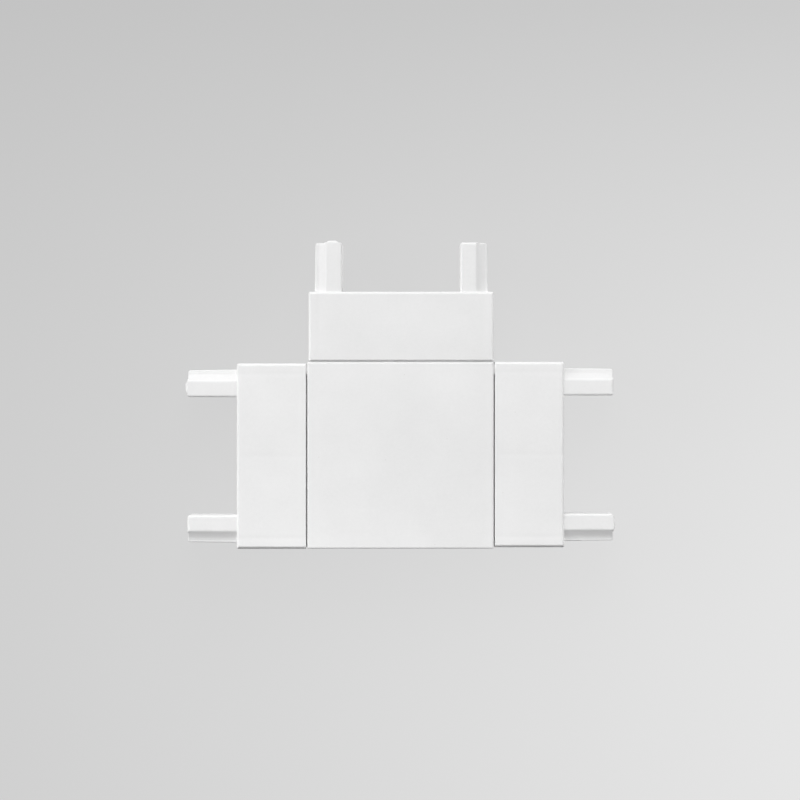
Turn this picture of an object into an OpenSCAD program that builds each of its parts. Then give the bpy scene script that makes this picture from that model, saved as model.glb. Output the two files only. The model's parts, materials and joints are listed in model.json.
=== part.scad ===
// Track light T-connector: a square hub with three plug-in arms, for a three-wire track.
// It lies on its back. The hub's centre on the back plane is the origin, the run lies along X,
// the stem points to +Y and the clean face looks to +Z. All sizes are in millimetres.

/* [Track] */
// Width of the track that the arms carry on
track_w = 35; // [33:0.5:40]
// Height of the track from its back to its open face
track_h = 18; // [17:0.5:22]

/* [Hub] */
// How far the hub's sides stand proud of the arms
hub_proud = 0.1; // [0.05:0.05:0.6]
// Thickness of the hub's side walls
hub_wall = 2; // [1.6:0.1:2.4]
// Thickness of the hub's front wall
hub_front = 2; // [1.4:0.1:2.2]
// Rounding of the hub's front and corner edges
hub_edge_r = 0.3; // [0.1:0.05:0.8]

/* [Arms] */
// Length of the left and right arms, without their prongs
run_arm_len = 13.1; // [12:0.05:20]
// Length of the stem arm, without its prongs
stem_arm_len = 13; // [12:0.05:20]
// Thickness of an arm's side and inner walls
arm_wall = 1.6; // [1.2:0.1:2]
// Thickness of an arm's front wall
arm_front = 1.8; // [1.2:0.1:2.2]
// Thickness of the outer end wall that carries the prongs
arm_end_wall = 2; // [1.6:0.1:2.6]
// Rounding of an arm's front edges
arm_edge_r = 0.5; // [0.4:0.05:1]
// Rounding of an arm's corners in plan
arm_corner_r = 0.4; // [0.2:0.05:0.8]
// Rounding of an arm's front edge along its seam
seam_edge_r = 0.2; // [0.05:0.05:0.3]
// Thickness of the rib behind the middle of an arm's front wall
rib_t = 1.2; // [0.8:0.1:1.6]
// Depth of the seams beside the hub, down to the pads that touch it
run_seam_depth = 3; // [1:0.1:3.4]
// Length of the ramps that close the seams beside the hub towards the stem
seam_ramp_len = 1.8; // [1:0.1:4]
// How far these ramps fall along their length
seam_ramp_fall = 0.45; // [0.2:0.05:0.8]
// Step from the front face back to the ramps' upper ends
seam_ramp_drop = 0.05; // [0.05:0.05:0.15]
// Depth of the seam over the hub
stem_seam_depth = 0.7; // [0.4:0.1:3.4]
// Step from an arm's side to its pad
pad_inset = 0.2; // [0.15:0.05:1]
// Seam between the hub and the left arm
left_seam = 0.2; // [0.1:0.05:0.5]
// Seam between the hub and the right arm
right_seam = 0.2; // [0.1:0.05:0.5]
// Seam between the hub and the stem arm
stem_seam = 0.3; // [0.1:0.05:0.5]
// Side play of an arm in its window, taken up to one side
arm_play = 0.15; // [0.05:0.05:0.3]

/* [Neck] */
// Height of the neck's front side above the back plane
neck_front = 14; // [13:0.1:14.4]
// Step from the neck's side to the flange's side
flange_lip = 1.6; // [1:0.1:2]
// Thickness of the flange that keeps an arm in the hub
flange_t = 2; // [1.4:0.1:2.4]
// Gap between the flange and the hub's corner pillars
flange_gap = 0.45; // [0.4:0.05:0.8]
// Wall left around the neck's pocket
neck_wall = 1.5; // [1:0.1:1.6]

/* [Prongs] */
// Length of a prong's front block
prong_len = 9.3; // [8:0.1:12]
// How much shorter the outer ledge is than the block
ledge_short = 0.1; // [0.05:0.05:0.4]
// How far the nose of the polarity prong stands past the block
nose_len = 0.35; // [0.2:0.05:0.8]
// Width of the nose at its tip
nose_w = 1.2; // [0.8:0.1:1.4]
// Distance from the block's outer side to the nose's middle
nose_at = 1.55; // [1.3:0.05:1.7]
// Width of the slanted shoulder on each side of the nose
nose_shoulder = 0.6; // [0.3:0.05:0.65]
// Step from an arm's side to its prong's outer side
prong_inset = 1.15; // [0.8:0.05:2]
// Width of a prong's front block
block_w = 3.4; // [3:0.1:4.5]
// Width of a prong's outer ledge
ledge_w = 1.8; // [1.4:0.1:2.4]
// Height of a prong's back side above the back plane
prong_back = 3; // [2:0.1:4]
// Step from an arm's front face back to the block's face
prong_recess = 0.3; // [0.2:0.1:1.2]
// Step from the block's face back to the ledge
ledge_drop = 0.7; // [0.6:0.1:2.4]
// How far the ledge falls towards the prong's outer side
ledge_fall = 0.2; // [0.05:0.05:0.4]
// Rounding of a block's edge beside the ledge
block_edge_r = 0.6; // [0.2:0.05:0.6]
// Rounding of a block's inner edge and tip
block_inner_r = 0.4; // [0.2:0.05:0.5]
// Rounding of a block's inner tip corner in plan
tip_corner_r = 0.45; // [0.2:0.05:0.6]
// Rounding of a ledge's edges
ledge_edge_r = 0.25; // [0.1:0.05:0.4]
// How far the outer side leans in from root to tip
prong_draft = 0.15; // [0.05:0.05:0.25]

/* [Contacts] */
// Thickness of a contact strip
strip_t = 0.5; // [0.3:0.05:0.6]
// Height of a contact strip
strip_h = 2; // [1.6:0.1:2]
// Height of the live and neutral strips above the back plane
line_z = 10; // [9.8:0.1:10]
// Height of the earth strips above the back plane
earth_z = 5.4; // [5:0.1:5.4]
// Depth of the grooves in the prongs' outer sides
groove_depth = 1.6; // [1.3:0.1:1.8]
// Play around a strip in its slots
slot_play = 0.1; // [0.05:0.05:0.2]
// Bend radius of a strip at its middle
bend_r = 0.8; // [0.6:0.1:0.8]
// How far a strip's crest stays inside the prong's outer side
crest_inset = 0.3; // [0.25:0.05:0.5]
// Length of the crest
crest_len = 2.2; // [1.6:0.1:2.8]
// Length of the straight stretch at a groove's root
root_len = 1.4; // [1:0.1:1.8]
// Wall between a groove's end and the block's tip
tip_wall = 1; // [0.8:0.1:1.4]
// Gap between a strip's tip and its groove's end
tip_gap = 0.5; // [0.3:0.1:0.8]
// Gap between the middle of a strip's bends and the pillars and end wall beside them
bend_gap = 0.7; // [0.6:0.1:1]
// Step from the neck's side to the live and neutral tails
tail_inset = 2.6; // [2.3:0.1:3]
// Step from a neutral tail to the earth tail beside it
tail_pitch = 3; // [2.6:0.1:3.4]

/* [Busbars] */
// Thickness of a busbar
bar_t = 0.8; // [0.6:0.1:1]
// Width of a busbar
bar_w = 4; // [3:0.1:5]
// Gap between a busbar and the tails over it
bar_gap = 0.6; // [0.4:0.1:0.8]
// Depth from the hub's side to the inner end of the forks
fork_depth = 8.45; // [8:0.05:9.5]
// Length of a fork's leaves
leaf_len = 3; // [2:0.1:3.2]
// Thickness of a fork's leaf
leaf_t = 0.5; // [0.4:0.05:0.7]
// How far a tail stands past its fork
tail_over = 0.5; // [0.2:0.1:0.8]
// Radius of the post that the busbars are stacked on
post_r = 1.8; // [1.5:0.1:2]
// Play around the post
post_play = 0.1; // [0.05:0.05:0.2]
// Radius of the post's shoulder and of the busbars' middle
shoulder_r = 4; // [3.2:0.1:5]
// Radius of the insulating discs
insulator_r = 9.2; // [7:0.1:9.5]
// Thickness of the insulating discs
insulator_t = 0.8; // [0.6:0.1:0.9]
// Radius of the insulators' spacing sleeves
sleeve_r = 3.2; // [2.6:0.1:4]

/* [Covers and screws] */
// Thickness of the back covers
cover_t = 1.8; // [1.5:0.1:2]
// Gap around a back cover
cover_gap = 0.1; // [0.05:0.05:0.3]
// Side of the square pillars that take the screws
pillar_w = 3.8; // [3.4:0.1:4.2]
// Core diameter of a screw and of its pilot bore
screw_d = 1.8; // [1.4:0.1:2]
// Diameter of a screw's countersunk head
head_d = 3.8; // [3:0.1:4]
// Length of a screw with its head
screw_len = 7.5; // [5:0.1:9]
// Diameter of the clearance holes in the covers
clear_d = 2.4; // [2.1:0.1:2.6]
// Depth of a screw's head below the back plane
head_sink = 0.1; // [0.05:0.05:0.2]

/* [Hidden] */
$fn = 48;

// Arms: turn about Z, mirrored or not, seam, side shift, length, depth of the seam
LEFT = [180, false, left_seam, arm_play, run_arm_len, run_seam_depth];
RIGHT = [0, false, right_seam, arm_play, run_arm_len, run_seam_depth];
STEM = [90, true, stem_seam, -arm_play, stem_arm_len, stem_seam_depth];
ARMS = [LEFT, RIGHT, STEM];

// Sides of an arm before it is mirrored: the live prong, and the polarity prong with the nose
LIVE_SIDE = 1;
NOSE_SIDE = -1;

// Overlap of solids that are joined, and overshoot of cuts
lap = 0.5;
// Points on each bend of a strip
bend_steps = 6;

hub_w = track_w + 2 * hub_proud;
hub_in = hub_w / 2 - hub_wall;
flange_w = 2 * (hub_in - pillar_w - flange_gap);
neck_w = flange_w - 2 * flange_lip;
window_w = neck_w + 2 * arm_play;
seam_ramp_y = track_w / 2 - seam_edge_r - arm_play;
neck_len = hub_wall + max(left_seam, right_seam, stem_seam);
pocket_end = neck_len + flange_t - neck_wall;
pad_w = track_w - 2 * pad_inset;

prong_w = block_w + ledge_w;
prong_out = track_w / 2 - prong_inset;
block_z = track_h - prong_recess;
ledge_z = block_z - ledge_drop;
ledge_len = prong_len - ledge_short;
groove_len = prong_len - tip_wall;
ramp_len = (groove_len - tip_gap - root_len - crest_len) / 2;

line_tail_y = neck_w / 2 - tail_inset;
earth_tail_y = line_tail_y - tail_pitch;
root_y = prong_out - groove_depth + strip_t / 2;
crest_y = prong_out - crest_inset - strip_t / 2;
tail_end = fork_depth + tail_over;

earth_bar_z = earth_z - bar_gap - bar_t;
neutral_bar_z = line_z - bar_gap - bar_t;
live_bar_z = line_z + strip_h + slot_play + insulator_t;
shoulder_z = live_bar_z + bar_t;
fork_r = hub_w / 2 - fork_depth;

hub_screw_at = hub_in - pillar_w / 2;
arm_screw_x = arm_wall + pillar_w / 2;
arm_screw_y = track_w / 2 - arm_wall - pillar_w / 2;

// Places children in an arm's frame: +X out of the hub, 0 at the arm's inner face
module at_arm(arm) {
    rotate([0, 0, arm[0]])
        translate([hub_w / 2 + arm[2], arm[3], 0])
            mirror([0, arm[1] ? 1 : 0, 0])
                children();
}

// Rectangle on the X axis whose two far corners are rounded, by r1 at x = 0 and r2 at x = w
module crowned(w, h, r1, r2) {
    square([r1, h - r1]);
    translate([r1, 0]) square([w - r1 - r2, h]);
    translate([w - r2, 0]) square([r2, h - r2]);
    translate([r1, h - r1]) circle(r1);
    translate([w - r2, h - r2]) circle(r2);
}

// Square on its centre with rounded corners
module rounded_square(w, r) {
    square([w - 2 * r, w], center = true);
    square([w, w - 2 * r], center = true);
    for (x = [-1, 1], y = [-1, 1]) {
        translate([x * (w / 2 - r), y * (w / 2 - r)]) circle(r);
    }
}

// Extrudes a section that is drawn in Y and Z along +X
module along_x(length) {
    rotate([90, 0, 90]) linear_extrude(length) children();
}

// Extrudes a section that is drawn in X and Z along Y, across a width that is centred on 0
module along_y(width) {
    translate([0, width / 2, 0]) rotate([90, 0, 0]) linear_extrude(width) children();
}

// Rectangle whose top falls from full height at x = w to a rounded corner at x = 0
module sloped(w, h, fall, r) {
    corner = [for (a = [0:15:90]) [r - r * cos(a), h - fall - r + r * sin(a)]];
    polygon(concat([[0, 0]], corner, [[w, h], [w, 0]]));
}

function unit(v) = v / norm(v);
function left_of(d) = [-d.y, d.x];
function turned(d, a) = [d.x * cos(a) - d.y * sin(a), d.x * sin(a) + d.y * cos(a)];

// Points of the bend at b between a and c, each with the direction to the strip's left side
function bend(a, b, c, r) =
    let (d = unit(b - a), e = unit(c - b), s = sign(cross(d, e)), turn = acos(d * e))
    let (middle = b - d * r * tan(turn / 2) + s * r * left_of(d))
    [for (k = [0:bend_steps])
        let (side = left_of(turned(d, s * turn * k / bend_steps)))
        [middle - s * r * side, side]];

// Outline of a flat strip that stands on edge along a path in plan, bent to radius r
module strip(path, t, r) {
    last = len(path) - 1;
    line = [
        [path[0], left_of(unit(path[1] - path[0]))],
        for (i = [1:last - 1]) each bend(path[i - 1], path[i], path[i + 1], r),
        [path[last], left_of(unit(path[last] - path[last - 1]))],
    ];
    right = [for (p = line) p[0] - p[1] * t / 2];
    left = [for (i = [len(line) - 1:-1:0]) line[i][0] + line[i][1] * t / 2];
    polygon(concat(right, left));
}

// Clearance hole, countersink and head seat for a screw that is driven from the back
module screw_hole() {
    seat_z = head_sink + (head_d - clear_d) / 2;
    translate([0, 0, -lap]) cylinder(h = cover_t + 2 * lap, d = clear_d);
    translate([0, 0, head_sink]) cylinder(h = seat_z - head_sink, d1 = head_d, d2 = clear_d);
    translate([0, 0, -lap]) cylinder(h = head_sink + lap, d = head_d);
}

// Pilot bore that a screw cuts its thread in
module pilot_bore() {
    translate([0, 0, -lap]) cylinder(h = screw_len + 2 * lap, d = screw_d);
}

// Countersunk screw with a cross recess, driven from the back
module screw() {
    cone_h = (head_d - screw_d) / 2;
    tip_h = screw_d / 2;
    point_d = screw_d / 6;
    slot_l = 0.6 * head_d;
    slot_w = 0.14 * head_d;
    slot_h = 0.8 * cone_h;
    difference() {
        translate([0, 0, head_sink]) union() {
            cylinder(h = cone_h, d1 = head_d, d2 = screw_d);
            cylinder(h = screw_len - tip_h, d = screw_d);
            translate([0, 0, screw_len - tip_h]) cylinder(h = tip_h, d1 = screw_d, d2 = point_d);
        }
        for (turn = [0, 90]) {
            rotate([0, 0, turn]) translate([-slot_l / 2, -slot_w / 2, head_sink - lap])
                cube([slot_l, slot_w, slot_h + lap]);
        }
    }
}

// Places children at the hub's four screws
module at_hub_screws() {
    for (x = [-1, 1], y = [-1, 1]) {
        translate([x * hub_screw_at, y * hub_screw_at, 0]) children();
    }
}

// Places children at an arm's two screws, in the arm's frame
module at_arm_screws() {
    for (y = [-1, 1]) {
        translate([arm_screw_x, y * arm_screw_y, 0]) children();
    }
}

// Outer form of the hub: a square box with fine rounded front and corner edges
module hub_form() {
    intersection() {
        linear_extrude(track_h) rounded_square(hub_w, hub_edge_r);
        translate([-hub_w / 2, 0, 0])
            along_y(hub_w) crowned(hub_w, track_h, hub_edge_r, hub_edge_r);
        translate([-hub_w / 2, 0, 0])
            along_x(hub_w) translate([-hub_w / 2, 0]) crowned(hub_w, track_h, hub_edge_r, hub_edge_r);
    }
}

// Ramps beside the hub that close the run's seams towards the stem, over the arms' pads
module seam_ramps() {
    top = run_seam_depth - seam_ramp_drop;
    section = [[0, 0], [0, top], [-seam_ramp_len, top - seam_ramp_fall], [-seam_ramp_len, 0]];
    for (x = [-hub_w / 2 - left_seam, hub_w / 2 - hub_edge_r]) {
        translate([x, seam_ramp_y, track_h - run_seam_depth])
            along_x(hub_edge_r + (x < 0 ? left_seam : right_seam)) polygon(section);
    }
}

// Square box, open at the back, with a window for each arm, four pillars and a post
module hub_shell() {
    front_z = track_h - hub_front;
    color("whitesmoke") difference() {
        union() {
            difference() {
                hub_form();
                translate([-hub_in, -hub_in, -lap]) cube([2 * hub_in, 2 * hub_in, front_z + lap]);
            }
            for (x = [-1, 1], y = [-1, 1]) {
                translate([x * hub_screw_at - pillar_w / 2, y * hub_screw_at - pillar_w / 2, cover_t])
                    cube([pillar_w, pillar_w, front_z - cover_t + lap]);
            }
            translate([0, 0, shoulder_z]) cylinder(h = front_z - shoulder_z + lap, r = shoulder_r);
            translate([0, 0, cover_t + lap]) cylinder(h = front_z - cover_t, r = post_r);
            seam_ramps();
        }
        for (arm = ARMS) {
            rotate([0, 0, arm[0]]) translate([hub_in - lap, -window_w / 2, -lap])
                cube([hub_wall + 2 * lap, window_w, neck_front + lap]);
        }
        at_hub_screws() pilot_bore();
    }
}

// Plate in the hub's back, with a tab that closes each window and a boss under the busbars
module hub_back_cover() {
    plate = 2 * (hub_in - cover_gap);
    tab_w = window_w - 2 * cover_gap;
    tab_end = hub_w / 2 - cover_gap;
    color("whitesmoke") difference() {
        union() {
            translate([-plate / 2, -plate / 2, 0]) cube([plate, plate, cover_t]);
            for (arm = ARMS) {
                rotate([0, 0, arm[0]]) translate([0, -tab_w / 2, 0]) cube([tab_end, tab_w, cover_t]);
            }
            cylinder(h = earth_bar_z, r = shoulder_r);
        }
        translate([0, 0, cover_t]) cylinder(h = earth_bar_z, r = post_r + post_play);
        at_hub_screws() screw_hole();
    }
}

module hub_screws() {
    color("silver") at_hub_screws() screw();
}

// Place of a fork's middle in the hub's frame, for an arm and its tail's distance off the axis
function fork_at(arm, side, tail_y) =
    let (x = fork_r + leaf_len / 2, y = arm[3] + (arm[1] ? -1 : 1) * side * tail_y)
    [x * cos(arm[0]) - y * sin(arm[0]), x * sin(arm[0]) + y * cos(arm[0])];

// Stamped plate on the post with three bars and, at each bar's end, a fork that grips a tail
module busbar(bar_z, side, tail_y, leaf_z, leaf_h) {
    fork_w = strip_t + 2 * leaf_t;
    difference() {
        union() {
            translate([0, 0, bar_z]) linear_extrude(bar_t) union() {
                circle(shoulder_r);
                for (arm = ARMS) {
                    p = fork_at(arm, side, tail_y);
                    rotate(atan2(p.y, p.x)) translate([0, -bar_w / 2]) square([norm(p), bar_w]);
                    translate(p) rotate(arm[0]) square([leaf_len, fork_w], center = true);
                }
            }
            for (arm = ARMS) {
                p = fork_at(arm, side, tail_y);
                translate([p.x, p.y, leaf_z]) rotate([0, 0, arm[0]])
                    translate([-leaf_len / 2, -fork_w / 2, 0]) cube([leaf_len, fork_w, leaf_h]);
            }
        }
        for (arm = ARMS) {
            p = fork_at(arm, side, tail_y);
            slot_z = bar_z < leaf_z ? bar_z + bar_t : leaf_z - lap;
            slot_h = bar_z < leaf_z ? leaf_h + bar_gap + lap : bar_z - leaf_z + lap;
            translate([p.x, p.y, slot_z]) rotate([0, 0, arm[0]])
                translate([-leaf_len, -strip_t / 2, 0]) cube([2 * leaf_len, strip_t, slot_h]);
        }
        translate([0, 0, bar_z - lap]) cylinder(h = bar_t + 2 * lap, r = post_r + post_play);
    }
}

module live_busbar() {
    color("goldenrod") busbar(live_bar_z, LIVE_SIDE, line_tail_y, line_z, live_bar_z - line_z + lap);
}

module neutral_busbar() {
    color("goldenrod") busbar(neutral_bar_z, NOSE_SIDE, line_tail_y, line_z - bar_gap - lap, strip_h + bar_gap + lap);
}

module earth_busbar() {
    color("goldenrod") busbar(earth_bar_z, NOSE_SIDE, earth_tail_y, earth_z - bar_gap - lap, strip_h + bar_gap + lap);
}

// Disc with a spacing sleeve down to the busbar behind it
module insulator(top_z, sleeve_end_z) {
    color("ivory") difference() {
        union() {
            translate([0, 0, top_z - insulator_t]) cylinder(h = insulator_t, r = insulator_r);
            translate([0, 0, sleeve_end_z]) cylinder(h = top_z - sleeve_end_z, r = sleeve_r);
        }
        translate([0, 0, sleeve_end_z - lap])
            cylinder(h = top_z - sleeve_end_z + 2 * lap, r = post_r + post_play);
    }
}

module upper_insulator() {
    insulator(live_bar_z, neutral_bar_z + bar_t);
}

module lower_insulator() {
    insulator(neutral_bar_z, earth_bar_z + bar_t);
}

// Outer form of an arm's housing, as wide and as high as the track
module arm_form(length) {
    intersection() {
        along_y(track_w) crowned(length, track_h, seam_edge_r, arm_edge_r);
        along_x(length) translate([-track_w / 2, 0]) crowned(track_w, track_h, arm_edge_r, arm_edge_r);
        linear_extrude(track_h) translate([0, track_w / 2]) rotate(-90)
            crowned(track_w, length, arm_corner_r, arm_corner_r);
    }
}

// Plan of a block from root to tip, drawn from the prong's outer side inwards
module block_plan(nose) {
    root = arm_end_wall / 2;
    r = tip_corner_r;
    nose_v = ledge_w + nose_at;
    nose_end = [
        [prong_len, nose_v - nose_w / 2 - nose_shoulder],
        [prong_len + nose_len, nose_v - nose_w / 2],
        [prong_len + nose_len, nose_v + nose_w / 2],
        [prong_len, nose_v + nose_w / 2 + nose_shoulder],
    ];
    corner = [for (a = [0:15:90]) [prong_len - r + r * cos(a), prong_w - r + r * sin(a)]];
    side = [[-root, prong_w], [-root, ledge_w], [prong_len - ledge_short, ledge_w], [prong_len, ledge_w + ledge_short]];
    polygon(concat(side, nose ? nose_end : [], corner));
}

// Plan of a ledge, whose outer side leans in towards a rounded tip corner
module ledge_plan() {
    root = arm_end_wall / 2;
    r = 2 * ledge_edge_r;
    corner = [for (a = [0:15:90]) [ledge_len - r + r * sin(a), prong_draft + r - r * cos(a)]];
    polygon(concat([[-root, ledge_w + lap], [-root, 0]], corner, [[ledge_len, ledge_w + lap]]));
}

// Front block of a prong: its plan, cut to a section and a side outline with rounded front edges
module block(nose) {
    root = arm_end_wall / 2;
    h = block_z - prong_back;
    tip = prong_len + (nose ? nose_len : 0);
    translate([0, 0, prong_back]) intersection() {
        linear_extrude(h) block_plan(nose);
        translate([-root, ledge_w, 0]) along_x(root + tip) crowned(block_w, h, block_edge_r, block_inner_r);
        translate([-root, 0, 0]) along_y(4 * prong_w) crowned(root + tip, h, block_inner_r, block_inner_r);
    }
}

// Recessed ledge along a prong's outer side, which falls outwards and runs in under the block
module ledge() {
    root = arm_end_wall / 2;
    h = ledge_z - prong_back;
    translate([0, 0, prong_back]) intersection() {
        linear_extrude(h) ledge_plan();
        translate([-root, 0, 0]) along_x(root + ledge_len) sloped(ledge_w + lap, h, ledge_fall, ledge_edge_r);
        translate([-root, 0, 0]) along_y(4 * prong_w) crowned(root + ledge_len, h, ledge_edge_r, ledge_edge_r);
    }
}

// Prong with its front block and the recessed ledge along its outer side
module prong(nose) {
    block(nose);
    ledge();
}

// Groove for a contact in a prong's outer side, and the slot that leads it through the end wall
module contact_groove(length, side, z) {
    h = strip_h + slot_play;
    slot_w = strip_t + slot_play;
    floor_y = prong_out - groove_depth;
    mirror([0, side > 0 ? 0 : 1, 0]) {
        translate([length, floor_y, z]) cube([groove_len, groove_depth + lap, h]);
        translate([length - arm_end_wall - lap, floor_y, z]) cube([arm_end_wall + 2 * lap, slot_w, h]);
    }
}

// Slots for a contact's tail through the arm's inner wall and the flange
module tail_slot(side, tail_y, z) {
    slot_w = strip_t + 2 * slot_play;
    translate([-neck_len - flange_t - lap, side * tail_y - slot_w / 2, z])
        cube([neck_len + flange_t + arm_wall + 2 * lap, slot_w, strip_h + slot_play]);
}

// Housing, seam pad, neck, flange and prongs of an arm, moulded as one and open at the back
module arm_shell(arm) {
    length = arm[4];
    in_w = track_w - 2 * arm_wall;
    in_l = length - arm_wall - arm_end_wall;
    front_z = track_h - arm_front;
    color("whitesmoke") at_arm(arm) difference() {
        union() {
            difference() {
                arm_form(length);
                translate([arm_wall, -in_w / 2, -lap]) cube([in_l, in_w, front_z + lap]);
            }
            for (y = [-1, 1]) {
                translate([arm_wall - lap, y * arm_screw_y - pillar_w / 2, cover_t])
                    cube([pillar_w + lap, pillar_w, front_z - cover_t + lap]);
            }
            translate([arm_wall - lap, -rib_t / 2, cover_t])
                cube([in_l + 2 * lap, rib_t, front_z - cover_t + lap]);
            translate([-arm[2], -pad_w / 2, 0]) cube([arm[2] + lap, pad_w, track_h - arm[5]]);
            translate([-neck_len - lap, -neck_w / 2, cover_t])
                cube([neck_len + 2 * lap, neck_w, neck_front - cover_t]);
            translate([-neck_len - flange_t, -flange_w / 2, cover_t])
                cube([flange_t, flange_w, neck_front - cover_t]);
            translate([length, prong_out, 0]) mirror([0, 1, 0]) prong(false);
            translate([length, -prong_out, 0]) prong(true);
        }
        translate([-pocket_end, -neck_w / 2 + neck_wall, -lap])
            cube([pocket_end, neck_w - 2 * neck_wall, neck_front - neck_wall + lap]);
        contact_groove(length, LIVE_SIDE, line_z);
        contact_groove(length, NOSE_SIDE, line_z);
        contact_groove(length, NOSE_SIDE, earth_z);
        tail_slot(LIVE_SIDE, line_tail_y, line_z);
        tail_slot(NOSE_SIDE, line_tail_y, line_z);
        tail_slot(NOSE_SIDE, earth_tail_y, earth_z);
        at_arm_screws() pilot_bore();
    }
}

// Plate in an arm's back, on the pillars and the rib
module arm_cover(arm) {
    x0 = arm_wall + cover_gap;
    x1 = arm[4] - arm_end_wall - cover_gap;
    w = track_w - 2 * arm_wall - 2 * cover_gap;
    color("whitesmoke") at_arm(arm) difference() {
        translate([x0, -w / 2, 0]) cube([x1 - x0, w, cover_t]);
        at_arm_screws() screw_hole();
    }
}

module arm_screws(arm) {
    color("silver") at_arm(arm) at_arm_screws() screw();
}

// Sprung strip: a crest in the prong's groove, the end wall's slot, a bend and a straight tail
module contact(arm, side, tail_y, z) {
    length = arm[4];
    crest_x = length + root_len + ramp_len;
    path = [
        [-tail_end, tail_y],
        [arm_wall + pillar_w + bend_gap, tail_y],
        [length - arm_end_wall - bend_gap, root_y],
        [length + root_len, root_y],
        [crest_x, crest_y],
        [crest_x + crest_len, crest_y],
        [crest_x + crest_len + ramp_len, root_y],
    ];
    color("goldenrod") at_arm(arm) mirror([0, side > 0 ? 0 : 1, 0])
        translate([0, 0, z]) linear_extrude(strip_h) strip(path, strip_t, bend_r);
}

module live_contact(arm) {
    contact(arm, LIVE_SIDE, line_tail_y, line_z);
}

module neutral_contact(arm) {
    contact(arm, NOSE_SIDE, line_tail_y, line_z);
}

module earth_contact(arm) {
    contact(arm, NOSE_SIDE, earth_tail_y, earth_z);
}

hub_shell();
hub_back_cover();
hub_screws();
live_busbar();
neutral_busbar();
earth_busbar();
upper_insulator();
lower_insulator();
arm_shell(LEFT);  // left_arm_shell
arm_cover(LEFT);  // left_arm_cover
arm_screws(LEFT);  // left_arm_screws
live_contact(LEFT);  // left_live_contact
neutral_contact(LEFT);  // left_neutral_contact
earth_contact(LEFT);  // left_earth_contact
arm_shell(RIGHT);  // right_arm_shell
arm_cover(RIGHT);  // right_arm_cover
arm_screws(RIGHT);  // right_arm_screws
live_contact(RIGHT);  // right_live_contact
neutral_contact(RIGHT);  // right_neutral_contact
earth_contact(RIGHT);  // right_earth_contact
arm_shell(STEM);  // stem_arm_shell
arm_cover(STEM);  // stem_arm_cover
arm_screws(STEM);  // stem_arm_screws
live_contact(STEM);  // stem_live_contact
neutral_contact(STEM);  // stem_neutral_contact
earth_contact(STEM);  // stem_earth_contact
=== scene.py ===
"""Looks for the track light T-connector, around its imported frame.

It adds the camera, the light, the floor, the materials and the soft coves of the prongs' steps.
"""
import json
import math

import bmesh
import bpy
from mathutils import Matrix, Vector


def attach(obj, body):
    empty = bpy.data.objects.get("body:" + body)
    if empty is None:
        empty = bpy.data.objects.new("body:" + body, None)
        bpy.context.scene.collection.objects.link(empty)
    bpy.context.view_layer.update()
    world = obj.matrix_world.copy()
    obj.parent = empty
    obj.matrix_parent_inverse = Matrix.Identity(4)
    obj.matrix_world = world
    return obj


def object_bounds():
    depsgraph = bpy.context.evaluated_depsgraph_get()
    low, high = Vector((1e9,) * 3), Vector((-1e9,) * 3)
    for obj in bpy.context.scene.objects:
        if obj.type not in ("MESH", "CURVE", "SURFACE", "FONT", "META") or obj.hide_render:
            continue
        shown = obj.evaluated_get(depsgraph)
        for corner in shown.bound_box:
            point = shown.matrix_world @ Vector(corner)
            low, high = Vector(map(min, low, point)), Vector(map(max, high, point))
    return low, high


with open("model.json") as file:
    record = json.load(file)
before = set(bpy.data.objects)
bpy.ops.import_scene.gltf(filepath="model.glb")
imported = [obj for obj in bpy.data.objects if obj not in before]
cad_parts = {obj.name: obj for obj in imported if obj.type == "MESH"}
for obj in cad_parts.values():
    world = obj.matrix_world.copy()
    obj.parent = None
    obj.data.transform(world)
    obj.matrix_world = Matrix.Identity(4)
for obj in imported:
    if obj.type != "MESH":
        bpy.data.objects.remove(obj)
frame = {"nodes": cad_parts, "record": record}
cad_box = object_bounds()

MM = 0.001
WHITE = "white_plastic"

# The photograph's frame: what it is centred on, and how wide it is at the front face
VIEW_CENTRE_MM = (-0.095, 10.45)
VIEW_WIDTH_MM = 150.9
LENS_MM = 250.0
SENSOR_MM = 36.0
CLIP_END = 20.0

# Soft lamps: direction, size in metres and power in watts. They are set from how bright the
# object's edges, ledges and faces are on each side, of which those that look down the picture are
# the darkest. The lamp underneath lights the back.
LAMPS = {
    "left": ((-1.0, 0.25, 0.5), 1.0, 9.2),
    "right": ((1.0, 0.25, 0.5), 1.0, 4.35),
    "top": ((0.0, 1.0, 1.0), 1.0, 8.85),
    "overhead": ((0.0, 0.0, 1.0), 1.0, 2.6),
    "under": ((0.3, -0.3, -1.0), 0.5, 6.5),
}
LAMP_DISTANCE = 1.2
SKY_STRENGTH = 0.1
BACKDROP_TONE = 224

# The floor: its size in metres, its display tones at the top and the bottom of the view on each
# side, how far down they change in half widths of the view, and how early they do
FLOOR_SIZE = 8.0
FLOOR_LEFT = (195, 208.8)
FLOOR_RIGHT = (203.9, 229.6)
FLOOR_REACH = 1.79
FLOOR_EASE = 1.92

# Share of the floor's tone that is its own, so that the object's shadow stays as faint as in the
# photograph
FLOOR_GLOW = 0.94

# Noises: scale per metre, detail and roughness. On the white plastic, a cloud changes tone and
# gloss slowly, grain and mottle are what spark erosion leaves in a mould, and a wave is shrinkage.
# The speckle is the insulators', drawing lines and tarnish are the metals', paper is the floor's.
CLOUD = (90.0, 3.0, 0.55)
GRAIN = (4600.0, 2.0, 0.6)
MOTTLE = (1500.0, 2.0, 0.5)
WAVE = (45.0, 1.0, 0.5)
SPECKLE = (2600.0, 3.0, 0.7)
DRAWING_LINES = (900.0, 3.0, 0.6)
TARNISH = (220.0, 3.0, 0.6)
PAPER = (3000.0, 2.0, 0.5)

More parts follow.
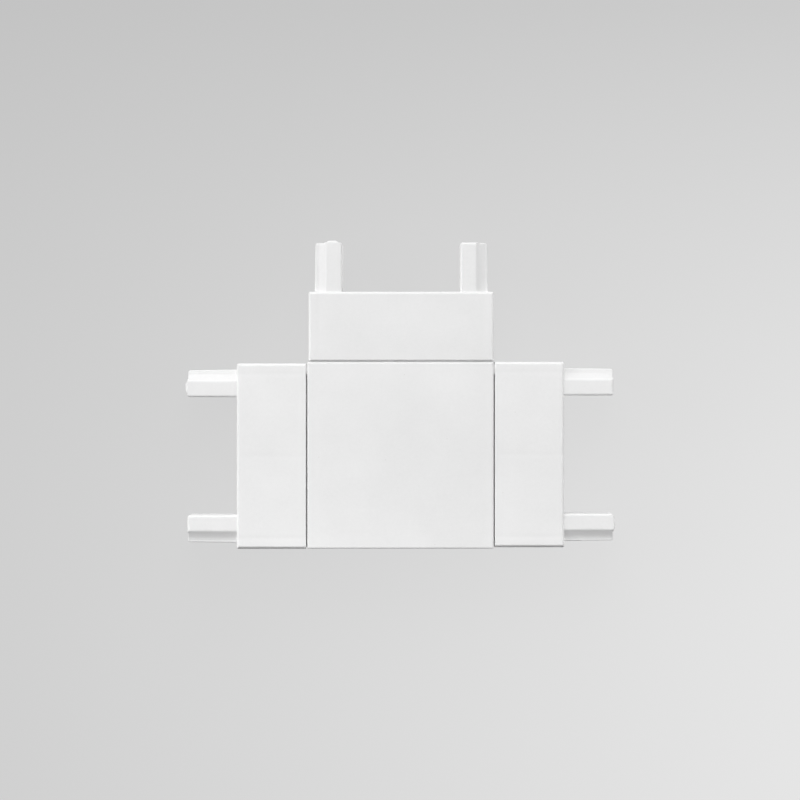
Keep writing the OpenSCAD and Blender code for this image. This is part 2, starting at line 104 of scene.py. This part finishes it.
# Bumps: strength and distance in metres
WAVE_BUMP = (0.12, 0.0004)
GRAIN_BUMP = (0.10, 0.00002)
SPECKLE_BUMP = (0.2, 0.00003)
DRAWN_BUMP = (0.15, 0.00003)
PAPER_BUMP = (0.05, 0.00002)

# The white plastic: share of the mottle beside the grain and of both beside the cloud, how far
# from the mean the tone goes and the greys it goes between, the cloud's part that changes the
# gloss and the roughness it goes between, and the values that are even all over
MOTTLE_SHARE = 0.9
FINE_SHARE = 0.4
TONE_SWING = 0.35
GREYS = (0.785, 0.845)
CLOUD_PART = (0.3, 0.7)
ROUGHNESS = (0.52, 0.60)
EVEN_FINISH = {
    "Specular IOR Level": 0.25,
    "Subsurface Weight": 0.08,
    "Subsurface Radius": (1.0, 1.0, 1.0),
    "Subsurface Scale": 0.0006,
}

# Part of a noise over which one colour goes over into another
BLEND_PART = (0.35, 0.65)

# The insulators: dark and light ivory, and roughness
IVORY = ((0.70, 0.64, 0.50, 1), (0.80, 0.75, 0.62, 1))
IVORY_ROUGHNESS = 0.62

# Metals: dark and light colour, lowest and highest roughness. Their drawing lines are a noise that
# is squeezed along Z, and the gloss changes over a part of the sum of lines and tarnish.
METALS = {
    "brass_strip": ((0.62, 0.43, 0.17, 1), (0.80, 0.61, 0.29, 1), 0.24, 0.38),
    "zinc_steel": ((0.50, 0.51, 0.53, 1), (0.66, 0.67, 0.69, 1), 0.26, 0.42),
}
LINES_STRETCH = (1.0, 1.0, 14.0)
GLOSS_PART = (0.7, 1.3)

# The fine bevel on the edges that the mouldings leave sharp
EDGE_MM = 0.08
EDGE_SEGMENTS = 2
EDGE_FROM_DEG = 40

# The white mouldings: brightness of each, lighter and darker copies of one plastic that paint the
# light and shade on them, and for an arm the axis across it and the middle of its front
MOULDINGS = {
    "hub_shell": (0.996, None, 0.0),
    "left_arm_shell": (1.000, "Y", -0.15),
    "right_arm_shell": (1.006, "Y", 0.15),
    "stem_arm_shell": (0.969, "X", 0.15),
}

# Painted light and reflection: a slow rise of the plastic's tone, as shares: up the picture,
# towards the hub's sides and ends, and towards its lower left, where its lower right falls as much
TONE_REACH_MM = 18.0
TONE_UP = -0.016
TONE_ASIDE = 0.014
TONE_ENDS = 0.03
TONE_TWIST = 0.008

# Sink lines in an arm's front, over its rib and beside its side walls: distance from the middle,
# width and depth of each, and the heights between which they fade in
SINKS_MM = ((0.0, 0.57, 0.020), (15.5, 0.5, 0.022))
SINK_FADE_MM = (17.3, 17.9)

# Fall of the front of the left and right arms beside their lower edges: where it ends, its width
# and its depth
FALL_MM = (17.5, 0.58, 0.25)

# Prongs: where they begin, how soft their edges look, and over what length that sets in
PRONGS_FROM_MM = 30.9
PRONG_SOFT_MM = 0.3
PRONG_FADE_MM = 0.1
BEVEL_SAMPLES = 8

# A prong's section at its step, out from the arm's middle and up: the block's outer side and the
# centre and radius of its rounding, and the ledge's height there and how steeply it falls outwards
STEP_MM = 14.55
ROUND_Z_MM = 17.1
ROUND_MM = 0.6
LEDGE_Z_MM = 17.0
LEDGE_SLOPE = 0.2 / 1.8

# The cove along a step: where on the rounding it begins, how far below its surface and how
# steeply, how far out it ends, and its number of steps
COVE_FROM_DEG = 38.0
COVE_UNDER_MM = 0.01
COVE_SLOPE_DEG = 33.0
COVE_OUT_MM = 1.1
COVE_STEPS = 14

# Its strip's hidden edges: how far they run on under the surface, how far the inner one rises and
# the outer one falls there, and how deep the root is
HIDDEN_MM = 0.28
HIDDEN_RISE_MM = 0.02
HIDDEN_FALL_MM = 0.08
ROOT_MM = 0.3

# Its length, how far it reaches back into the end wall, and the radius and steps of its crowned tip
COVE_LENGTH_MM = 9.17
COVE_BACK_MM = 0.1
TIP_MM = 0.22
TIP_STEPS = 4

# The angle from which its edges stay sharp, and its brightness beside the moulding's
COVE_SHARP_DEG = 25
# painted shade: the cove's plastic is darker than its moulding's
COVE_PAINTED_SHADE = 0.96

# Specks of dust on the front faces: their middles, radius, core that is full, strength and colour
SPECKS_MM = (
    (8.78, 3.13), (-2.84, -0.83), (-15.42, -0.34), (-38.48, -13.56),
    (21.62, 8.17), (19.32, -7.03), (0.74, 15.24), (6.48, -16.82),
)
SPECK_R_MM = 0.11
SPECK_CORE = 0.4
SPECK_STRENGTH = 0.35
SPECK_COLOUR = (0.45, 0.43, 0.40, 1)


def grey(tone):
    """Linear colour of a grey with a display tone from 0 to 255."""
    v = tone / 255
    linear = v / 12.92 if v <= 0.04045 else ((v + 0.055) / 1.055) ** 2.4
    return (linear, linear, linear, 1.0)


class Nodes:
    """Short way to add and join shader nodes in one tree, which it empties first."""

    def __init__(self, tree):
        self.tree = tree
        tree.nodes.clear()

    def add(self, kind, inputs=None, **settings):
        node = self.tree.nodes.new("ShaderNode" + kind)
        for name, value in settings.items():
            setattr(node, name, value)
        for name, value in (inputs or {}).items():
            socket = node.inputs[name]
            if isinstance(value, bpy.types.NodeSocket):
                self.tree.links.new(value, socket)
            else:
                socket.default_value = value
        return node

    def axes(self, vector):
        return self.add("SeparateXYZ", {"Vector": vector}).outputs

    def noise(self, vector, scale, detail, roughness):
        inputs = {"Vector": vector, "Scale": scale, "Detail": detail, "Roughness": roughness}
        return self.add("TexNoise", inputs).outputs["Fac"]

    def math(self, operation, a, b=0.0):
        return self.add("Math", {0: a, 1: b}, operation=operation).outputs[0]

    def spread(self, value, low, high, from_low=0.0, from_high=1.0):
        """Maps from_low to from_high onto low to high, and holds what lies beyond."""
        inputs = {"From Min": from_low, "From Max": from_high, "To Min": low, "To Max": high}
        return self.add("MapRange", {"Value": value, **inputs}).outputs[0]

    def mix(self, factor, a, b):
        return self.add("Mix", {0: factor, 6: a, 7: b}, data_type="RGBA").outputs[2]

    def mix_shaders(self, factor, a, b):
        return self.add("MixShader", {0: factor, 1: a.outputs[0], 2: b.outputs[0]})

    def bump(self, height, strength, distance, normal=None):
        inputs = {"Strength": strength, "Distance": distance, "Height": height}
        if normal is not None:
            inputs["Normal"] = normal
        return self.add("Bump", inputs).outputs[0]


def new_material(name):
    """A material, its nodes, and where the shaded point is in the shared frame."""
    material = bpy.data.materials.new(name)
    material.use_nodes = True
    n = Nodes(material.node_tree)
    return material, n, n.add("TexCoord").outputs["Object"]


def finish_material(n, shader):
    """Shows a shader on the material."""
    n.add("OutputMaterial", {"Surface": shader.outputs[0]})


def sink_lines(n, place, across, middle_mm):
    """Height of an arm's front, which dips over its rib and beside its side walls."""
    axes = n.axes(place)
    off = n.math("ABSOLUTE", n.math("SUBTRACT", axes[across], middle_mm * MM))
    height = 0.0
    for at, width, depth in SINKS_MM:
        u = n.math("DIVIDE", n.math("SUBTRACT", off, at * MM), width * MM)
        dip = n.math("EXPONENT", n.math("MULTIPLY", n.math("MULTIPLY", u, u), -1.0))
        height = n.math("SUBTRACT", height, n.math("MULTIPLY", dip, depth * MM))
    low, high = (v * MM for v in SINK_FADE_MM)
    return n.math("MULTIPLY", height, n.spread(axes["Z"], 0.0, 1.0, low, high))


def lower_fall(n, place, middle_mm):
    """Height of the left or right arm's front, which falls away beside its lower edge."""
    at, width, depth = FALL_MM
    edge = (middle_mm - at) * MM
    u = n.spread(n.axes(place)["Y"], 1.0, 0.0, edge, edge + width * MM)
    return n.math("MULTIPLY", n.math("MULTIPLY", u, u), -depth * MM)


def soft_prongs(n, place, across):
    """Normal of an arm, softened at the edges of its prongs."""
    axes = n.axes(place)
    along = n.math("ABSOLUTE", axes["X"]) if across == "Y" else axes["Y"]
    low, high = PRONGS_FROM_MM * MM, (PRONGS_FROM_MM + PRONG_FADE_MM) * MM
    soft = n.spread(along, 0.0, PRONG_SOFT_MM * MM, low, high)
    return n.add("Bevel", {"Radius": soft}, samples=BEVEL_SAMPLES).outputs[0]


def painted_light_tone(n, place, painted_light_gain):
    """Painted light and reflection as a colour factor, slow over the hub and even beyond it."""
    axes = n.axes(place)
    reach = TONE_REACH_MM * MM
    x, y = (n.spread(axes[axis], -1.0, 1.0, -reach, reach) for axis in "XY")
    factor = n.math("ADD", painted_light_gain, n.math("MULTIPLY", y, TONE_UP))
    factor = n.math("ADD", factor, n.math("MULTIPLY", n.math("MULTIPLY", x, x), TONE_ASIDE))
    twist = n.math("MULTIPLY", x, n.math("SUBTRACT", y, 1.0))
    factor = n.math("ADD", factor, n.math("MULTIPLY", twist, TONE_TWIST))
    return n.math("ADD", factor, n.math("MULTIPLY", n.math("MULTIPLY", y, y), TONE_ENDS))


def dust(n, place):
    """1 on the specks and 0 elsewhere."""
    found = 0.0
    radius = SPECK_R_MM * MM
    for x, y in SPECKS_MM:
        point = (x * MM, y * MM, cad_box[1].z)
        away = n.add("VectorMath", {0: place, 1: point}, operation="DISTANCE").outputs["Value"]
        speck = n.spread(away, 1.0, 0.0, SPECK_CORE * radius, radius)
        found = n.math("MAXIMUM", found, speck)
    return found


def white_plastic(name=WHITE, painted_light_gain=1.0, across=None, middle_mm=0.0):
    """Satin white moulded plastic: spark-eroded grain, faint cloudy tone and shrinkage waves."""
    material, n, place = new_material(name)
    cloud = n.noise(place, *CLOUD)
    grain = n.noise(place, *GRAIN)
    mottle = n.math("MULTIPLY", n.noise(place, *MOTTLE), MOTTLE_SHARE)
    fine = n.math("MULTIPLY", n.math("ADD", grain, mottle), FINE_SHARE)
    fine_swing = FINE_SHARE * (1 + MOTTLE_SHARE) / 2
    fine = n.spread(fine, -fine_swing, fine_swing, 0.0, 2 * fine_swing)
    tone = n.math("ADD", n.spread(cloud, -0.5, 0.5), fine)
    tone = n.spread(tone, *GREYS, -TONE_SWING, TONE_SWING)
    # painted light and reflection: the tone rises and falls slowly over the hub
    tone = n.math("MULTIPLY", tone, painted_light_tone(n, place, painted_light_gain))
    colour = n.add("CombineColor", {"Red": tone, "Green": tone, "Blue": tone}).outputs[0]
    colour = n.mix(n.math("MULTIPLY", dust(n, place), SPECK_STRENGTH), colour, SPECK_COLOUR)
    normal = soft_prongs(n, place, across) if across else None
    normal = n.bump(n.noise(place, *WAVE), *WAVE_BUMP, normal)
    normal = n.bump(grain, *GRAIN_BUMP, normal)
    if across:
        height = sink_lines(n, place, across, middle_mm)
        if across == "Y":
            height = n.math("ADD", height, lower_fall(n, place, middle_mm))
        normal = n.bump(height, 1.0, 1.0, normal)
    roughness = n.spread(cloud, *ROUGHNESS, *CLOUD_PART)
    inputs = {"Base Color": colour, "Roughness": roughness, "Normal": normal, **EVEN_FINISH}
    finish_material(n, n.add("BsdfPrincipled", inputs))
    return material


def ivory_insulator(name):
    """Matte ivory thermoset with a fine speckle."""
    material, n, place = new_material(name)
    speckle = n.noise(place, *SPECKLE)
    colour = n.mix(n.spread(speckle, 0.0, 1.0, *BLEND_PART), *IVORY)
    normal = n.bump(speckle, *SPECKLE_BUMP)
    inputs = {"Base Color": colour, "Roughness": IVORY_ROUGHNESS, "Normal": normal}
    finish_material(n, n.add("BsdfPrincipled", inputs))
    return material


def rolled_metal(name, dark, light, low, high):
    """Stamped or rolled metal: fine drawing lines, slow tarnish and uneven gloss."""
    material, n, place = new_material(name)
    stretched = n.add("Mapping", {"Vector": place, "Scale": LINES_STRETCH}).outputs[0]
    lines = n.noise(stretched, *DRAWING_LINES)
    tarnish = n.noise(place, *TARNISH)
    colour = n.mix(n.spread(tarnish, 0.0, 1.0, *BLEND_PART), dark, light)
    roughness = n.spread(n.math("ADD", lines, tarnish), low, high, *GLOSS_PART)
    normal = n.bump(lines, *DRAWN_BUMP)
    inputs = {"Base Color": colour, "Roughness": roughness, "Metallic": 1.0, "Normal": normal}
    finish_material(n, n.add("BsdfPrincipled", inputs))
    return material


def dress_nodes():
    """Gives every CAD node its material, and the white ones a fine bevel on their sharp edges."""
    materials = {WHITE: white_plastic(), "ivory_insulator": ivory_insulator("ivory_insulator")}
    for name, look in METALS.items():
        materials[name] = rolled_metal(name, *look)
    for part in frame["record"]["subparts"]:
        node, slot = part["node"], part["material_slot"]
        obj = frame["nodes"][node]
        material = materials[slot]
        if node in MOULDINGS:
            # painted light and shade: each moulding's copy of the white plastic is lighter or
            # darker
            material = white_plastic(f"{WHITE}_{node}", *MOULDINGS[node])
        obj.data.materials.clear()
        obj.data.materials.append(material)
        if slot == WHITE:
            bevel = obj.modifiers.new("edge", "BEVEL")
            bevel.width = EDGE_MM * MM
            bevel.segments = EDGE_SEGMENTS
            bevel.limit_method = "ANGLE"
            bevel.angle_limit = math.radians(EDGE_FROM_DEG)
            bevel.harden_normals = True


def cove_section():
    """Section of a cove's strip, out from the step and up: its curve, then its hidden root."""
    turn, slope = math.radians(COVE_FROM_DEG), math.tan(math.radians(COVE_SLOPE_DEG))
    reach = ROUND_MM - COVE_UNDER_MM
    out0, up0 = reach * math.sin(turn) - ROUND_MM, ROUND_Z_MM + reach * math.cos(turn)
    out1 = (up0 + slope * out0 - LEDGE_Z_MM) / (slope - LEDGE_SLOPE)
    up1 = LEDGE_Z_MM - LEDGE_SLOPE * out1
    out2, up2 = COVE_OUT_MM, LEDGE_Z_MM - LEDGE_SLOPE * COVE_OUT_MM
    near, far = out0 - HIDDEN_MM, out2 + HIDDEN_MM
    # A parabola that leaves the rounding at the cove's slope and meets the ledge at the ledge's
    points = [(near, up0 + HIDDEN_RISE_MM)]
    for i in range(COVE_STEPS + 1):
        t = i / COVE_STEPS
        a, b, c = (1 - t) ** 2, 2 * t * (1 - t), t * t
        points.append((a * out0 + b * out1 + c * out2, a * up0 + b * up1 + c * up2))
    return points + [(far, up2 - HIDDEN_FALL_MM), (far, up2 - ROOT_MM), (near, up2 - ROOT_MM)]


def cove_stations():
    """Where a cove's section is placed along the prong, and how far it has fallen there."""
    stations = [(-COVE_BACK_MM, 0.0), (COVE_LENGTH_MM - TIP_MM, 0.0)]
    for i in range(1, TIP_STEPS + 1):
        turn = math.radians(90 * i / TIP_STEPS)
        along = COVE_LENGTH_MM - TIP_MM * (1 - math.sin(turn))
        stations.append((along, TIP_MM * (1 - math.cos(turn))))
    return stations


def make_coves(node, painted_light_gain, across, middle_mm):
    """The soft coves along both steps of an arm's prongs, which are part of its moulding."""
    towards = -1 if node.startswith("left") else 1
    section = cove_section()
    mesh = bmesh.new()
    for side in (-1, 1):
        rings = []
        for along, fall in cove_stations():
            ring = []
            for out, up in section:
                u = towards * (PRONGS_FROM_MM + along)
                v = middle_mm + side * (STEP_MM + out)
                x, y = (u, v) if across == "Y" else (v, u)
                ring.append(mesh.verts.new((x * MM, y * MM, (up - fall) * MM)))
            rings.append(ring)
        for a, b in zip(rings, rings[1:]):
            for i in range(len(section)):
                j = (i + 1) % len(section)
                mesh.faces.new((a[i], a[j], b[j], b[i]))
        mesh.faces.new(rings[0])
        mesh.faces.new(rings[-1])
    bmesh.ops.recalc_face_normals(mesh, faces=mesh.faces)
    data = bpy.data.meshes.new(f"{node}_coves")
    mesh.to_mesh(data)
    mesh.free()
    data.shade_smooth()
    data.set_sharp_from_angle(angle=math.radians(COVE_SHARP_DEG))
    piece = bpy.data.objects.new(data.name, data)
    bpy.context.scene.collection.objects.link(piece)
    # painted shade on the cove, beside the moulding's painted light and shade
    material = white_plastic(f"{WHITE}_{data.name}", painted_light_gain * COVE_PAINTED_SHADE, across, middle_mm)
    data.materials.append(material)
    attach(piece, "root")


def make_floor():
    """Pale floor whose grey rises from the top left to the bottom right, as the photograph's does.

    It is clear from below, and for shadow rays, so that the lamp underneath shines through it.
    """
    bpy.ops.mesh.primitive_plane_add(size=FLOOR_SIZE, location=(0, 0, 0))
    floor = bpy.context.object
    floor.name = "floor"
    material, n, place = new_material("floor_paper")
    axes = n.axes(place)
    half = VIEW_WIDTH_MM * MM / 2
    across = n.spread(axes["X"], 0.0, 1.0, -half, half)
    top = VIEW_CENTRE_MM[1] * MM + half
    down = n.spread(axes["Y"], 0.0, 1.0, top, top - FLOOR_REACH * half)
    left_over = n.math("POWER", n.math("SUBTRACT", 1.0, down), FLOOR_EASE)
    eased = n.math("SUBTRACT", 1.0, left_over)
    left, right = (n.mix(eased, *map(grey, tones)) for tones in (FLOOR_LEFT, FLOOR_RIGHT))
    colour = n.mix(across, left, right)
    normal = n.bump(n.noise(place, *PAPER), *PAPER_BUMP)
    diffuse = n.add("BsdfDiffuse", {"Color": colour, "Normal": normal})
    glow = n.add("Emission", {"Color": colour})
    path = n.add("LightPath").outputs
    seen = n.math("MAXIMUM", path["Is Camera Ray"], path["Is Glossy Ray"])
    shown = n.mix_shaders(n.math("MULTIPLY", seen, FLOOR_GLOW), diffuse, glow)
    below = n.add("NewGeometry").outputs["Backfacing"]
    clear = n.math("MAXIMUM", below, path["Is Shadow Ray"])
    finish_material(n, n.mix_shaders(clear, shown, n.add("BsdfTransparent")))
    floor.data.materials.append(material)


def make_lamp(name, direction, size, watts):
    """Round area lamp that looks at the object."""
    lamp = bpy.data.lights.new(name, "AREA")
    lamp.shape = "DISK"
    lamp.size = size
    lamp.energy = watts
    towards = Vector(direction).normalized()
    obj = bpy.data.objects.new(name, lamp)
    obj.location = towards * LAMP_DISTANCE
    obj.rotation_mode = "QUATERNION"
    obj.rotation_quaternion = towards.to_track_quat("Z", "Y")
    bpy.context.scene.collection.objects.link(obj)


def make_light():
    """Soft lamps around, over and under the object, and an even sky that is seen as pale grey."""
    for name, (direction, size, watts) in LAMPS.items():
        make_lamp(name, direction, size, watts)
    world = bpy.data.worlds.new("sky")
    bpy.context.scene.world = world
    world.use_nodes = True
    n = Nodes(world.node_tree)
    sky = n.add("Background", {"Color": (1, 1, 1, 1), "Strength": SKY_STRENGTH})
    pale = n.add("Background", {"Color": grey(BACKDROP_TONE), "Strength": 1.0})
    path = n.add("LightPath").outputs
    seen = n.math("MAXIMUM", path["Is Camera Ray"], path["Is Transmission Ray"])
    n.add("OutputWorld", {"Surface": n.mix_shaders(seen, sky, pale).outputs[0]})


def make_camera():
    """Long lens straight above the connector, framed as the photograph is at the front face."""
    data = bpy.data.cameras.new("camera")
    data.lens = LENS_MM
    data.sensor_width = SENSOR_MM
    data.clip_end = CLIP_END
    camera = bpy.data.objects.new("camera", data)
    distance = VIEW_WIDTH_MM * MM * LENS_MM / SENSOR_MM
    x, y = VIEW_CENTRE_MM
    camera.location = (x * MM, y * MM, cad_box[1].z + distance)
    bpy.context.scene.collection.objects.link(camera)
    bpy.context.scene.camera = camera


dress_nodes()
for node, (painted_light_gain, across, middle_mm) in MOULDINGS.items():
    if across:
        make_coves(node, painted_light_gain, across, middle_mm)
make_floor()
make_light()
make_camera()
bpy.context.scene.view_settings.view_transform = "Standard"
